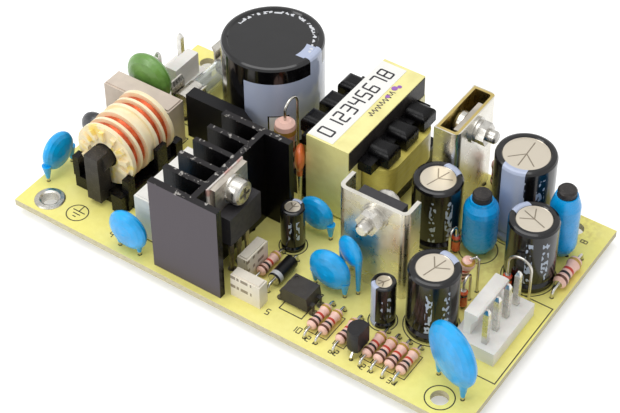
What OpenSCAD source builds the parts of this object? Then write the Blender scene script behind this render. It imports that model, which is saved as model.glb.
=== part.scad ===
// Open frame switching power supply on a single sided board.
// Frame: origin at the middle of the board's outline, z = 0 at the trimmed ends of the leads,
// +X towards the output header, +Y towards the back long edge, +Z up. Millimetres.

/* [Board] */
// board length, input edge to output edge
board_l = 108.5; // [90:0.5:130]
// board width
board_w = 62; // [50:0.5:80]
// board thickness
board_t = 1.6; // [0.8:0.1:2.4]
// length of trimmed lead under the board
stub = 2.2; // [1:0.1:3]
// distance between mounting holes along the board
hole_px = 95.1; // [80:0.1:110]
// distance between mounting holes across the board
hole_py = 53.8; // [40:0.1:70]
// offset of the hole pattern from the middle of the board
hole_dx = -0.75; // [-3:0.05:3]
// mounting hole diameter
hole_d = 3.6; // [3:0.1:4.5]

/* [Main heatsink] */
// height of the extrusion above the board
hs_h = 23; // [15:0.5:30]
// wall that carries the transistor, thickness
hs_web_t = 1.3; // [1:0.1:2]
// thickness of each fin
hs_fin_t = 1.2; // [0.8:0.1:2]
// pitch of the fins
hs_pitch = 4.7; // [4:0.1:6]

/* [Output brackets] */
// width of a folded bracket
br_w = 15.8; // [12:0.1:20]
// depth of a folded bracket
br_d = 5.6; // [4:0.1:8]
// sheet thickness
br_t = 0.9; // [0.6:0.1:1.5]
// height above the board
br_h = 23; // [15:0.5:30]

/* [Line choke] */
// length of the sectioned former
choke_l = 13.4; // [11:0.1:14]

/* [Transformer] */
// core length
tr_l = 28.6; // [24:0.1:32]
// core thickness
tr_t = 10.4; // [8:0.1:12]
// core top above the board
tr_h = 19.4; // [16:0.1:24]

/* [Capacitors] */
// bulk capacitor diameter
bulk_d = 22; // [18:0.5:25]
// bulk capacitor height
bulk_h = 25.6; // [20:0.1:30]
// output capacitor height
out_h = 16.2; // [12:0.1:20]
// tall output capacitor height
tall_h = 20.2; // [16:0.1:25]

/* [Hidden] */
$fn = 48;
bt = stub + board_t;
lr = 0.3;
bore = 0.45;
eps = 0.02;

// ---- positions of the components on the board ----
holes = [for (i = [-1, 1], j = [-1, 1]) [hole_dx + i * hole_px / 2, j * hole_py / 2]];
eyelet_at = [hole_dx - hole_px / 2, -hole_py / 2];

cn1 = [-50.2, 16.2];
cn2 = [48.2, -6.98];
pin_p = 3.96;
cn1_pins = [[cn1.x, cn1.y - pin_p], [cn1.x, cn1.y + pin_p]];
cn2_pins = [for (i = [-1.5 : 1.5]) [cn2.x, cn2.y + i * pin_p]];

fuse_x = -40.8;
clip_y = [10.6, 25.9];
fuse_pins = [for (y = clip_y, i = [-1, 1]) [fuse_x, y + i * 1.6]];

function px(p, g) = [[p.x - g / 2, p.y], [p.x + g / 2, p.y]];
function py(p, g) = [[p.x, p.y - g / 2], [p.x, p.y + g / 2]];
function pd(p, g, a) = [for (i = [-1, 1]) [p.x + i * g / 2 * cos(a), p.y + i * g / 2 * sin(a)]];

// disc parts: centre x, centre y, disc diameter, thickness, centre height, turn, lead pitch
green = [-48, 6.6, 11.5, 4.4, 10.3, 0, 7.5];
dark = [-50.3, -8.8, 7.6, 3.8, 5.6, 0, 5];
blue = [[-52.2, -19.1, 8.6, 3.4, 5.8, 90, 7.5], [-25.3, -29.0, 9.2, 3.4, 5.6, 0, 5],
  [3.1, -3.95, 8.0, 3.2, 5.5, 0, 7], [14.4, -15.6, 9.4, 3.4, 5.7, 0, 7],
  [17.2, -12.6, 6.8, 2.4, 9.8, -18, 5]];
large = [47.1, -23.5, 13.6, 4.3, 9.2, -22, 7.5];
orange = [-4.7, 1.5, 5.8, 2.2, 12.6, -60, 2.2];

xc1 = [-45.15, 1.0];
xc2 = [-24.0, -15.8];
choke = [-39.4, -11.7];
choke_z = 10.6;
br1 = [-26.7, 3.4];
bulk = [-22.6, 17.4];
sw_y = -19.2;
sw_z = 19.5;
big_r = [-10.6, 4.7];
tr = [2.0, 16.1];
fb = [20.35, -10.2];
rb = [24.4, 22.7];
caps10 = [[36.0, -12.3], [23.7, 9.0], [45.3, 9.7]];
cap13 = [36.7, 21.3];
caps5 = [[1.3, -9.6], [27.5, -16.6]];
rods = [[33.2, 10.3, 3.65, 16], [47.5, 18.9, 3.15, 18]];
film = [[2.5, -26.3], [-1.55, -19.5]];
qw = [[0.95, -17.5], [17.4, -23.7], [20.0, -23.7], [24.0, -23.7],
  [30.15, -23.7], [32.7, -23.7], [35.2, -23.7], [37.75, -23.7]];
out_r = [52.0, 13.4];
stand_r = [34.6, -1.5];
diode = [4.6, -17.8];
glass = [[38.6, -5.0], [29.6, 7.2], [43.6, 3.6]];
back_r = [26.9, 28.3];
opto = [11.4, -21.3];
tx = [27.9, -25.8];

hs_x0 = -18.6;
hs_web_x = -9.2;
hs_y0 = -29.6;
sw_back = hs_web_x + hs_web_t + 0.3;
sw_leads = [for (i = [-1 : 1]) [sw_back + 2.5, sw_y + i * 2.54]];
// how far each screw lies off the middle of its bracket
fs = 0.7;
rs = -0.4;
fb_leads = [for (i = [-1, 1]) [fb.x + fs + i * 2.54, fb.y + br_t + 0.3 + 2.2]];
rb_leads = [for (i = [-1, 1]) [rb.x - br_t - 0.3 - 2.2, rb.y + rs + i * 2.54]];
hs_pins = [[hs_web_x + hs_web_t / 2, hs_y0 + 4], [hs_web_x + hs_web_t / 2, hs_y0 + 19]];
fb_pins = [for (i = [-1, 1]) [fb.x + i * (br_w / 2 - br_t / 2), fb.y + 3.2]];
rb_pins = [for (i = [-1, 1]) [rb.x - br_t / 2, rb.y + i * 5]];
tr_pins = [for (i = [-1, 1], j = [-2 : 2]) [tr.x + i * 8, tr.y + j * 5]];
ch_pins = [for (i = [-1, 1], j = [-1, 1]) [choke.x + i * 5, choke.y + j * 6]];
opto_pins = [for (i = [-1, 1], j = [-1, 1]) [opto.x + i * 3.81, opto.y + j * 1.27]];
tx_pins = [for (i = [-1 : 1]) [tx.x, tx.y + i * 2.54]];
br_pins = [for (i = [-1.5 : 1.5]) [br1.x + i * 3.81, br1.y]];

function disc_pins(d) = pd([d[0], d[1]], d[6], d[5]);
round_pins = concat(disc_pins(green), disc_pins(dark), disc_pins(large), disc_pins(orange),
  [for (b = blue, p = disc_pins(b)) p], px(xc1, 15), py(xc2, 15), br_pins, px(bulk, 10),
  [for (c = caps10, p = px(c, 5)) p], px(cap13, 5), [for (c = caps5, p = px(c, 2)) p],
  [for (r = rods, p = px([r[0], r[1]], 3)) p], px(film[0], 5), py(film[1], 5),
  [for (q = qw, p = py(q, 10.16)) p], py(out_r, 12.7), py(diode, 10.16), tx_pins,
  [big_r, [big_r.x, big_r.y + 4.4]], px([back_r.x + 1.27, back_r.y], 2.54),
   [stand_r, [stand_r.x + 4.2, stand_r.y + 1.7]],
  [glass[0], [glass[0].x, glass[0].y + 2.54]], [glass[1], [glass[1].x, glass[1].y - 2.54]],
  [glass[2], [glass[2].x + 5.08, glass[2].y]], ch_pins, tr_pins);
flat_pins = concat(cn1_pins, cn2_pins, fuse_pins, sw_leads, fb_leads, rb_leads, hs_pins,
  fb_pins, rb_pins, opto_pins);

// ---- shared shapes ----
module on_board(p = [0, 0], z = 0) { translate([p.x, p.y, bt + z]) children(); }
module wire(p, top) { translate([p.x, p.y, 0]) cylinder(h = top, r = lr, $fn = 24); }
module along_y(l, r) { rotate([-90, 0, 0]) cylinder(h = l, r = r); }
module along_x(l, r) { rotate([0, 90, 0]) cylinder(h = l, r = r); }
module block(p0, p1) { translate(p0) cube(p1 - p0); }

// quarter bend of wire: starts upwards at the origin, ends along +Y
module bend_y(r) {
  translate([0, r, 0]) rotate([0, 0, -90]) rotate([90, 0, 0]) translate([0, 0, 0])
    rotate([0, 0, 90]) rotate_extrude(angle = 90, $fn = 48) translate([r, 0]) circle(r = lr, $fn = 24);
}
// half loop of wire over the top, from the origin to +X by g
module loop_x(g) {
  translate([g / 2, 0, 0]) rotate([90, 0, 0])
    rotate_extrude(angle = 180, $fn = 48) translate([g / 2, 0]) circle(r = lr, $fn = 24);
}
module quarter_y(r) {
  rotate([0, 0, 90]) rotate([90, 0, 0])
    rotate_extrude(angle = 90, $fn = 48) translate([r, 0]) circle(r = lr, $fn = 24);
}

// coated disc standing on its two leads
module disc(d) {
  R = d[2] / 2; t = d[3] / 2;
  on_board([d[0], d[1]], d[4]) rotate([0, 0, d[5]]) {
    rotate([90, 0, 0]) rotate_extrude($fn = 64)
      polygon([[0, -t], [R * 0.45, -t * 0.92], [R * 0.75, -t * 0.72], [R * 0.93, -t * 0.42],
        [R, -t * 0.12], [R, t * 0.12], [R * 0.93, t * 0.42], [R * 0.75, t * 0.72],
        [R * 0.45, t * 0.92], [0, t]]);
  }
  for (p = disc_pins(d)) {
    wire(p, bt + d[4]);
    on_board(p, 0.9) cylinder(h = d[4] - 0.9 - R * 0.35, r1 = lr + 0.12, r2 = t * 0.62);
  }
}
// aluminium can in a shrunk sleeve, flat scored top, crimped near the foot
module can(p, d, h, g) {
  r = d / 2; k = d > 9 ? 1 : 0.6;
  on_board(p) rotate_extrude($fn = 72)
    polygon([[0, 0], [r - 0.35 * k, 0], [r, 0.5 * k], [r, 1.5 * k], [r - 0.45 * k, 2.2 * k],
      [r, 2.9 * k], [r, h - 0.7 * k], [r - 0.25 * k, h - 0.2 * k], [r - 0.7 * k, h],
      [r - 1.3 * k, h], [r - 1.6 * k, h - 0.35 * k], [0, h - 0.35 * k]]);
  for (q = px(p, g)) wire(q, bt + 1);
}
// axial resistor lying along Y, with rounded end bulges
module resistor_y(p, l, r, g) {
  rn = r * 0.82;
  on_board([p.x, p.y - l / 2], r + 0.25) rotate([-90, 0, 0]) rotate_extrude($fn = 48)
    polygon([[0, 0], [r * 0.6, 0], [r * 0.9, l * 0.05], [r, l * 0.12], [r, l * 0.2],
      [rn, l * 0.3], [rn, l * 0.7], [r, l * 0.8], [r, l * 0.88], [r * 0.9, l * 0.95],
      [r * 0.6, l], [0, l]]);
  leads_y(p, r + 0.25, g);
}
// pair of leads bent down at both ends of an axial part along Y
module leads_y(p, z, g) {
  b = 0.9;
  on_board([p.x, p.y - g / 2 + b], z) along_y(g - 2 * b, lr);
  for (s = [-1, 1]) {
    on_board([p.x, p.y + s * (g / 2 - b)], z - b) rotate([0, 0, s < 0 ? 180 : 0]) quarter_y(b);
    wire([p.x, p.y + s * g / 2], bt + z - b);
  }
}

// ---- board ----
module circuit_board() color([0.93, 0.88, 0.5]) difference() {
  translate([-board_l / 2, -board_w / 2, stub]) cube([board_l, board_w, board_t]);
  for (p = holes) translate([p.x, p.y, 0]) cylinder(h = 10, d = p == eyelet_at ? 4.2 : hole_d);
  for (p = round_pins) translate([p.x, p.y, 0]) cylinder(h = 10, r = bore, $fn = 24);
  for (p = flat_pins) translate([p.x, p.y, 0]) cylinder(h = 10, r = 0.9, $fn = 24);
}
module mounting_eyelet() color([0.75, 0.76, 0.78])
  translate([eyelet_at.x, eyelet_at.y, stub]) rotate_extrude($fn = 64)
    polygon([[hole_d / 2, -0.3], [3.1, -0.3], [3.25, -0.15], [3.25, 0], [2.1, 0],
      [2.1, board_t], [3.25, board_t], [3.25, board_t + 0.1], [3.0, board_t + 0.3],
      [2.2, board_t + 0.35], [hole_d / 2, board_t + 0.1]]);
module fillet(p, ri, ro) translate([p.x, p.y, stub]) rotate_extrude($fn = 24)
  polygon([[ri, 0], [ro, 0], [ro - 0.25, -0.3], [ri + 0.25, -1.1], [ri, -1.3]]);
module solder_joints() color([0.78, 0.79, 0.8]) {
  for (p = round_pins) fillet(p, lr + eps, 1.0);
  for (p = flat_pins) fillet(p, 0.88, 1.6);
}

// ---- headers ----
// housing: base across the pins, friction wall on the inner side
module header(n, side) {
  l = n * pin_p; wl = (n - 1) * pin_p;
  difference() {
    union() {
      block([-6.3, -l / 2, 0], [3.1, l / 2, 3.3]);
      block([-4.9, -wl / 2, 3.2], [-3.3, wl / 2, 6.2]);
      translate([-4.9, wl / 2, 0]) rotate([90, 0, 0]) linear_extrude(wl)
        polygon([[0, 6.1], [1.6, 6.1], [3.0, 8.2], [3.0, 8.8], [2.6, 9.0], [0, 9.0]]);
    }
    for (i = [0 : n - 1]) if (!(n == 3 && i == 1))
      translate([0, (i - (n - 1) / 2) * pin_p, -1]) cube([1.18, 1.18, 12], center = true);
    for (i = [0 : n - 1]) if (!(n == 3 && i == 1))
      translate([-0.59, (i - (n - 1) / 2) * pin_p - 0.59, -1]) cube([1.18, 1.18, 6]);
  }
}
module pin() {
  translate([-0.57, -0.57, 0]) cube([1.14, 1.14, bt + 11.2]);
  translate([0, 0, bt + 11.2]) rotate([0, 0, 45])
    cylinder(h = 0.9, r1 = 0.806, r2 = 0.35, $fn = 4);
}
module inlet_header() color([0.94, 0.94, 0.93])
  on_board(cn1) mirror([1, 0, 0]) header(3);
module inlet_pins() color([0.82, 0.8, 0.72])
  for (p = cn1_pins) translate([p.x, p.y, 0]) pin();
module outlet_header() color([0.96, 0.96, 0.95]) on_board(cn2) header(4);
module outlet_pins() color([0.82, 0.8, 0.72])
  for (p = cn2_pins) translate([p.x, p.y, 0]) pin();

// ---- fuse ----
fuse_z = 4.6; fuse_r = 2.6; fuse_y0 = 8.3; cap_l = 5.5;
module fuse_glass() color([0.85, 0.9, 0.9]) on_board([fuse_x, fuse_y0 + cap_l], fuse_z)
  rotate([-90, 0, 0]) difference() {
    cylinder(h = 20 - 2 * cap_l, r = fuse_r - 0.2);
    translate([0, 0, -1]) cylinder(h = 22, r = fuse_r - 0.75);
  }
module fuse_end_caps() color([0.7, 0.62, 0.45]) {
  for (y = [fuse_y0, fuse_y0 + 20 - cap_l]) on_board([fuse_x, y], fuse_z) along_y(cap_l, fuse_r);
  on_board([fuse_x, fuse_y0 + 2], fuse_z) along_y(16, 0.1);
}
module fuse_clips() color([0.55, 0.45, 0.28]) for (y = clip_y) {
  for (s = [-1, 1]) {
    on_board([fuse_x + s * (fuse_r + 0.25), y]) translate([-0.2, -2.1, 1.5]) cube([0.4, 4.2, 5.9]);
    on_board([fuse_x + s * (fuse_r + 0.25), y]) translate([0, 2.1, 7.3]) rotate([90, 0, 0])
      linear_extrude(4.2) polygon([[-0.2, 0], [0.2, 0], [0.2 + s * 0.6, 1.2], [-0.2 + s * 0.6, 1.2]]);
  }
  on_board([fuse_x, y]) block([-fuse_r - 0.45, -2.1, 1.5], [fuse_r + 0.45, 2.1, 1.95]);
  for (i = [-1, 1]) translate([fuse_x - 0.55, y + i * 1.6 - 0.2, 0]) cube([1.1, 0.4, bt + 1.8]);
}

// ---- input filter ----
module inrush_thermistor() color([0.25, 0.5, 0.22]) disc(green);
module surge_disc() color([0.08, 0.14, 0.12]) disc(dark);
// moulded film capacitor box with chamfered top edges
module film_box(l, w, h) {
  c = 0.35;
  block([-l / 2, -w / 2, 0], [l / 2, w / 2, h - c]);
  translate([0, 0, h - c]) block([-l / 2 + c, -w / 2 + c, -0.1], [l / 2 - c, w / 2 - c, c]);
}
module line_filter_capacitor() color([0.84, 0.78, 0.7]) {
  on_board(xc1) film_box(17.5, 5, 11.5);
  for (p = px(xc1, 15)) wire(p, bt + 1);
}
module second_filter_capacitor() color([0.92, 0.9, 0.88]) {
  on_board(xc2) rotate([0, 0, 90]) film_box(17.6, 6, 11);
  for (p = py(xc2, 15)) wire(p, bt + 1);
}
fl_r = 7.25; ch_core = 2.5; tube_r = 4.1; wind_r = 6.3;
end_w = 1; mid_w = 0.7; band_w = 3.4;
bay = (choke_l / 2 - band_w / 2 - end_w - mid_w) / 2;
bay_y = [end_w, end_w + bay + mid_w];
module on_choke() on_board([choke.x, choke.y - choke_l / 2], choke_z) rotate([-90, 0, 0]) children();
// both halves of the former, mirrored about its middle
module both_halves() for (s = [0, 1])
  translate([0, 0, s * choke_l]) mirror([0, 0, s]) children();
module choke_bobbin() color([0.96, 0.9, 0.75]) {
  on_choke() difference() {
    union() {
      cylinder(h = choke_l, r = tube_r);
      both_halves() {
        cylinder(h = end_w, r = fl_r);
        translate([0, 0, bay_y[1] - mid_w]) cylinder(h = mid_w, r = fl_r - 0.15);
        translate([0, 0, bay_y[1] + bay]) cylinder(h = 0.8, r = fl_r);
      }
      translate([0, 0, choke_l / 2 - band_w / 2]) cylinder(h = band_w, r = fl_r - 0.6);
    }
    translate([0, 0, -1]) cylinder(h = choke_l + 2, r = ch_core + 0.35);
  }
  for (a = [-20 : 28 : 204]) on_board([choke.x, choke.y - choke_l / 2], choke_z)
    rotate([0, -a, 0]) translate([tube_r - 0.1, -0.8, -0.55]) cube([2.3, 0.9, 1.1]);
}
module choke_windings() color([0.7, 0.25, 0.1])
  on_choke() both_halves() for (y = bay_y) translate([0, 0, y + 0.01]) difference() {
    cylinder(h = bay - 0.02, r = wind_r);
    translate([0, 0, -1]) cylinder(h = bay + 2, r = tube_r + 0.02);
  }
ch_y0 = choke.y - choke_l / 2; ch_y1 = choke.y + choke_l / 2;
module choke_core() color([0.18, 0.17, 0.17]) {
  on_board([choke.x, ch_y0 - 3], choke_z) along_y(choke_l + 5.6, ch_core);
  on_board() block([choke.x - 1.75, ch_y0 - 4.6, 1.3], [choke.x + 1.75, ch_y0 - 1.1, choke_z + 2.5]);
  on_board() block([choke.x - 1.75, ch_y1 + 0.25, 1.3], [choke.x + 1.75, ch_y1 + 2.9, choke_z + 2.5]);
  on_board() block([choke.x - 1.75, ch_y0 - 1.2, 1.3], [choke.x + 1.75, ch_y1 + 0.3, 2.9]);
}
module choke_base() color([0.09, 0.09, 0.09]) {
  on_board() difference() {
    block([choke.x - 7.1, ch_y0 - 2.2, 0], [choke.x + 7.1, ch_y1 + 2.6, 3.1]);
    block([choke.x - 1.85, ch_y0 - 5, 1.2], [choke.x + 1.85, ch_y1 + 5, 6]);
  }
  for (s = [-1, 1]) {
    on_board() block([choke.x + s * 6.6 - 0.8, ch_y0 - 2.2, 3], [choke.x + s * 6.6 + 0.8, ch_y0 + 0.0 - 0.1, 8.2]);
    on_board() block([choke.x + s * 6.6 - 0.8, ch_y1 + 0.1, 3], [choke.x + s * 6.6 + 0.8, ch_y1 + 2.2, 7.2]);
    on_board() block([choke.x + s * 6.8 - 0.3, ch_y0 - 2.2, 3], [choke.x + s * 6.8 + 0.3, ch_y1 + 2.2, 4.1]);
  }
  on_board() block([choke.x + 7.3, choke.y - 0.3, 0.8], [choke.x + 8.3, choke.y + 2.8, 11]);
  on_board() block([choke.x + 7.0, choke.y - 0.3, 0.8], [choke.x + 7.5, choke.y + 2.8, 4]);
  on_board() block([choke.x + 3.9, ch_y0 - 3.8, 0], [choke.x + 6.7, ch_y0 - 2.1, 4.5]);
  for (p = ch_pins) wire(p, bt + 1);
}
module bridge_rectifier() color([0.07, 0.07, 0.07]) {
  on_board(br1) difference() {
    block([-7.5, -1.5, 3.5], [7.5, 1.5, 15]);
    translate([7.5, 0, 15]) rotate([0, 45, 0]) cube([3, 5, 3], center = true);
  }
  for (p = br_pins) {
    wire(p, bt + 5);
    on_board(p, 1.8) cylinder(h = 2, r = 0.55);
  }
}
module bulk_capacitor() color([0.07, 0.07, 0.08]) can(bulk, bulk_d, bulk_h, 10);

// ---- heatsink and switch ----
module main_heatsink() color([0.1, 0.1, 0.11]) on_board() difference() {
  union() {
    block([hs_web_x, hs_y0, 0], [hs_web_x + hs_web_t, hs_y0 + 5 * hs_pitch + 1.6, hs_h]);
    block([hs_x0, hs_y0, 0], [-2.1, hs_y0 + 1.5, hs_h]);
    for (i = [1 : 4]) block([hs_x0, hs_y0 + 0.1 + i * hs_pitch, 0],
      [hs_web_x + 0.1, hs_y0 + 0.1 + i * hs_pitch + hs_fin_t, hs_h]);
    block([hs_x0, hs_y0 + 0.1 + 5 * hs_pitch, 0], [-2.0, hs_y0 + 1.6 + 5 * hs_pitch, hs_h]);
    for (p = hs_pins) translate([p.x, p.y, -bt]) translate([-0.5, -0.65, 0]) cube([1.0, 1.3, bt + 1]);
  }
  translate([hs_web_x - 1, sw_y, sw_z]) along_x(4, 1.25);
}
sw_top = 22.5;
module switch_body() color([0.12, 0.12, 0.13]) on_board() {
  block([sw_back + 0.05, sw_y - 5, 9.3], [sw_back + 4.5, sw_y + 5, 16.3]);
}
module switch_leadframe() color([0.78, 0.77, 0.74]) {
  on_board() difference() {
    block([sw_back, sw_y - 5.2, 16.32], [sw_back + 1.3, sw_y + 5.2, sw_top]);
    translate([sw_back - 1, sw_y, sw_z]) along_x(4, 1.8);
  }
  for (p = sw_leads) {
    translate([p.x - 0.25, p.y - 0.4, 0]) cube([0.5, 0.8, bt + 4]);
    translate([p.x - 0.25, p.y - 0.6, bt + 3.9]) cube([0.5, 1.2, 5.38]);
  }
}
module switch_pad() color([0.9, 0.9, 0.88]) on_board() difference() {
  block([hs_web_x + hs_web_t, sw_y - 6.0, 8.0], [sw_back, sw_y + 5.6, hs_h - 0.2]);
  translate([sw_back - 2, sw_y, sw_z]) along_x(4, 1.8);
}
sw_face = sw_back + 1.3;
module ring_x(x, w, ro, ri) translate([x, 0, 0]) rotate([0, 90, 0]) difference() {
  cylinder(h = w, r = ro);
  translate([0, 0, -1]) cylinder(h = w + 2, r = ri);
}
module switch_flat_washer() color([0.8, 0.8, 0.8]) on_board([0, sw_y], sw_z)
  ring_x(sw_face, 0.5, 3.1, 1.6);
module switch_spring_washer() color([0.8, 0.8, 0.8]) on_board([0, sw_y], sw_z)
  difference() {
    ring_x(sw_face + 0.5, 0.7, 2.7, 1.6);
    translate([sw_face, 1.0, -0.15]) cube([3, 3, 0.3]);
  }
module pan_screw(l) {
  difference() {
    rotate([0, -90, 0]) rotate_extrude($fn = 48)
      polygon([[0, 0], [2.75, 0], [2.75, 1.1], [2.5, 1.7], [1.9, 2.0], [0, 2.0]]);
    for (a = [0, 90]) rotate([a, 0, 0]) translate([-3, -0.35, -1.5]) cube([2, 0.7, 3]);
  }
  translate([-0.05, 0, 0]) along_x(l, 1.22);
}
module switch_screw() color([0.82, 0.82, 0.82])
  on_board([sw_face + 1.2, sw_y], sw_z) rotate([0, 0, 180]) pan_screw(4.6);

// ---- power resistor and orange disc ----
module standing_body(r, l) rotate_extrude($fn = 48)
  polygon([[0, 0], [r * 0.6, 0], [r * 0.92, l * 0.06], [r, l * 0.14], [r, l * 0.22],
    [r * 0.86, l * 0.34], [r * 0.86, l * 0.68], [r, l * 0.8], [r, l * 0.88],
    [r * 0.92, l * 0.95], [r * 0.55, l], [0, l]]);
module power_resistor() color([0.93, 0.66, 0.63]) {
  on_board(big_r, 2.5) standing_body(2.3, 15);
  wire(big_r, bt + 19.5);
  translate([big_r.x, big_r.y, bt + 19.5]) rotate([0, 0, 90]) loop_x(4.4);
  wire([big_r.x, big_r.y + 4.4], bt + 19.5);
}
module orange_disc_capacitor() color([0.95, 0.45, 0.15]) disc(orange);

// ---- transformer ----
tr_y0 = tr.y - tr_l / 2; tr_y1 = tr.y + tr_l / 2;
tr_x0 = tr.x - tr_t / 2; tr_x1 = tr.x + tr_t / 2;
module transformer_core() color([0.13, 0.13, 0.13]) on_board() difference() {
  block([tr_x0, tr_y0, 0.9], [tr_x1, tr_y1, tr_h]);
  for (s = [-1, 1]) translate([0, s * (leg_y + 3.85) / 2, 0])
    block([tr_x0 - 1, tr.y - 3.05, 4.9], [tr_x1 + 1, tr.y + 3.05, tr_h - 4.0]);
}
// strip of the coil former outside the core, side s, half length w, reaching x = o
module rail(s, w, o, z0, z1) {
  xi = tr.x + s * (tr_t / 2 + 0.1);
  xo = tr.x + s * o;
  block([min(xi, xo), tr.y - w, z0], [max(xi, xo), tr.y + w, z1]);
}
// arched hood over a wire exit, open towards the core, reaching along +X
module hood() {
  w = 2.35; r = 1.5; l = 4.9;
  intersection() {
    union() {
      translate([0, -w, 0]) cube([l, 2 * w, 3.7 - r]);
      translate([0, -w + r, 0]) cube([l, 2 * (w - r), 3.7]);
      for (i = [-1, 1]) translate([0, i * (w - r), 3.7 - r]) along_x(l, r);
    }
    union() {
      translate([-1, -w - 1, -1]) cube([l + 1 - r, 2 * w + 2, 6]);
      translate([-1, -w - 1, -1]) cube([l + 1, 2 * w + 2, 1 + 3.7 - r]);
      translate([l - r, -w - 1, 3.7 - r]) along_y(2 * w + 2, r);
    }
  }
}
module transformer_bobbin() color([0.08, 0.08, 0.08]) {
  on_board() difference() {
    block([tr.x - 6.0, tr.y - 4.7, 5.0], [tr.x + 6.0, tr.y + 4.7, 15.3]);
    block([tr.x - 5.3, tr.y - 3.9, 4], [tr.x + 5.3, tr.y + 3.9, 16]);
  }
  for (z = [[4.95, 5.4], [13.1, 15.3]]) on_board() difference() {
    block([tr.x - 5.6, tr.y - 9.8, z.x], [tr.x + 5.6, tr.y + 9.8, z.y]);
    block([tr.x - 5.3, tr.y - 3.9, 4], [tr.x + 5.3, tr.y + 3.9, 16]);
  }
  for (s = [-1, 1]) {
    on_board() rail(s, 11.4, 8.5, 13.1, 15.5);
    on_board() rail(s, 12.9, 10, 0, 5.4);
    for (j = [-1 : 1]) on_board([tr.x + s * 5.9, tr.y + 0.7 + j * 6.85], 13.6) mirror([s < 0 ? 1 : 0, 0, 0]) hood();
  }
  for (p = tr_pins) wire(p, bt + 1);
}
coil_c = 3.8;
module transformer_winding() color([0.93, 0.86, 0.3]) on_board() difference() {
  union() {
    block([tr.x - 11.6 + coil_c, tr.y - 9.5, 5.45], [tr.x + 11.6 - coil_c, tr.y + 9.5, 13.05]);
    block([tr.x - 11.6, tr.y - 9.5 + coil_c, 5.45], [tr.x + 11.6, tr.y + 9.5 - coil_c, 13.05]);
    for (i = [-1, 1], j = [-1, 1])
      translate([tr.x + i * (11.6 - coil_c), tr.y + j * (9.5 - coil_c), 5.45])
        cylinder(h = 7.6, r = coil_c);
  }
  block([tr.x - 6.05, tr.y - 4.75, 5], [tr.x + 6.05, tr.y + 4.75, 16]);
}
tape_t = 0.25;
leg_y = 9.95;
module transformer_tape() color([0.94, 0.91, 0.6]) on_board() difference() {
  union() {
    block([tr_x0 + 0.1, tr_y0 - tape_t, 0.65], [tr_x1 - 0.1, tr_y1 + tape_t, tr_h + tape_t]);
    block([tr_x0 - 0.08, tr_y0 - tape_t, 0.9], [tr_x1 + 0.08, tr_y1 + tape_t, 14.6]);
  }
  block([tr_x0 - 0.005, tr_y0 - 0.005, 0.895], [tr_x1 + 0.005, tr_y1 + 0.005, tr_h + 0.005]);
  block([tr_x0 - 1, tr.y - leg_y, 0.895], [tr_x1 + 1, tr.y + leg_y, tr_h + 0.005]);
}
module transformer_label() color([0.96, 0.95, 0.97]) on_board()
  block([tr_x0 + 0.1, tr_y0 + 0.2, tr_h + 0.25], [tr_x0 + 6.2, tr_y1 - 0.6, tr_h + 0.35]);

// ---- brackets with the output rectifiers ----
// sheet folded to a U, plate in the plane y = 0, flanges towards +Y
module folded_u(d, s_x) {
  ro = 1.6; ri = ro - br_t; w = br_w / 2;
  difference() {
    union() {
      block([-w, ro, 0], [w, d, br_h]);
      block([-w + ro, 0, 0], [w - ro, d, br_h]);
      for (s = [-1, 1]) translate([s * (w - ro), ro, 0]) cylinder(h = br_h, r = ro);
    }
    block([-w + br_t, ro, -1], [w - br_t, d + 1, br_h + 1]);
    block([-w + ro, br_t, -1], [w - ro, d, br_h + 1]);
    for (s = [-1, 1]) translate([s * (w - ro), ro, -1]) cylinder(h = br_h + 2, r = ri);
    translate([s_x, -1, sw_z]) along_y(4, 1.6);
  }
}
module front_bracket() color([0.82, 0.82, 0.8]) {
  on_board(fb) folded_u(br_d - 0.5, fs);
  for (p = fb_pins) translate([p.x - 0.45, p.y - 0.75, 0]) cube([0.9, 1.5, bt + 0.5]);
}
module rear_bracket() color([0.82, 0.8, 0.76]) {
  on_board(rb) rotate([0, 0, 90]) {
    folded_u(br_d, rs);
    block([-br_w / 2 + br_t - 0.1, br_d - 0.9, 16.7], [br_w / 2 - br_t + 0.1, br_d - 0.1, br_h]);
  }
  for (p = rb_pins) translate([p.x - 0.45, p.y - 0.75, 0]) cube([0.9, 1.5, bt + 0.5]);
}
// part screwed inside the folded sheet: x across, y away from the plate
module in_front() on_board([fb.x + fs, fb.y + br_t]) children();
module in_rear() on_board([rb.x - br_t, rb.y + rs]) rotate([0, 0, 90]) children();
module rectifier_bodies() color([0.1, 0.1, 0.1]) {
  in_front() difference() {
    union() {
      block([-5, 0.3, 7.2], [5, 4.5, 16.3]);
      block([-5, 0.3, 16.2], [5, 3.0, 22.2]);
    }
    translate([0, -1, sw_z]) along_y(6, 1.6);
  }
  in_rear() block([-5, 0.35, 7.2], [5, 4.0, 16.3]);
}
module rectifier_leadframes() color([0.78, 0.77, 0.74]) {
  in_rear() difference() {
    block([-5, 0.3, 16.32], [5, 1.6, 22.0]);
    translate([0, -1, sw_z]) along_y(6, 1.6);
  }
  for (p = fb_leads) translate([p.x - 0.4, p.y - 0.25, 0]) cube([0.8, 0.5, bt + 7.15]);
  for (p = rb_leads) translate([p.x - 0.25, p.y - 0.4, 0]) cube([0.5, 0.8, bt + 7.15]);
}
module pad_sheet() difference() {
  block([-5.6, 0, 6.4], [5.6, 0.3, 22.3]);
  translate([0, -1, sw_z]) along_y(6, 1.6);
}
module rectifier_pads() color([0.85, 0.85, 0.84]) { in_front() pad_sheet(); in_rear() pad_sheet(); }
module ring_y(y, w, ro, ri) translate([0, y, sw_z]) rotate([-90, 0, 0]) difference() {
  cylinder(h = w, r = ro);
  translate([0, 0, -1]) cylinder(h = w + 2, r = ri);
}
module bracket_flat_washers() color([0.8, 0.8, 0.8]) {
  in_front() ring_y(-br_t - 0.5, 0.5, 2.9, 1.6);
  in_rear() ring_y(-br_t - 0.5, 0.5, 2.9, 1.6);
}
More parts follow.
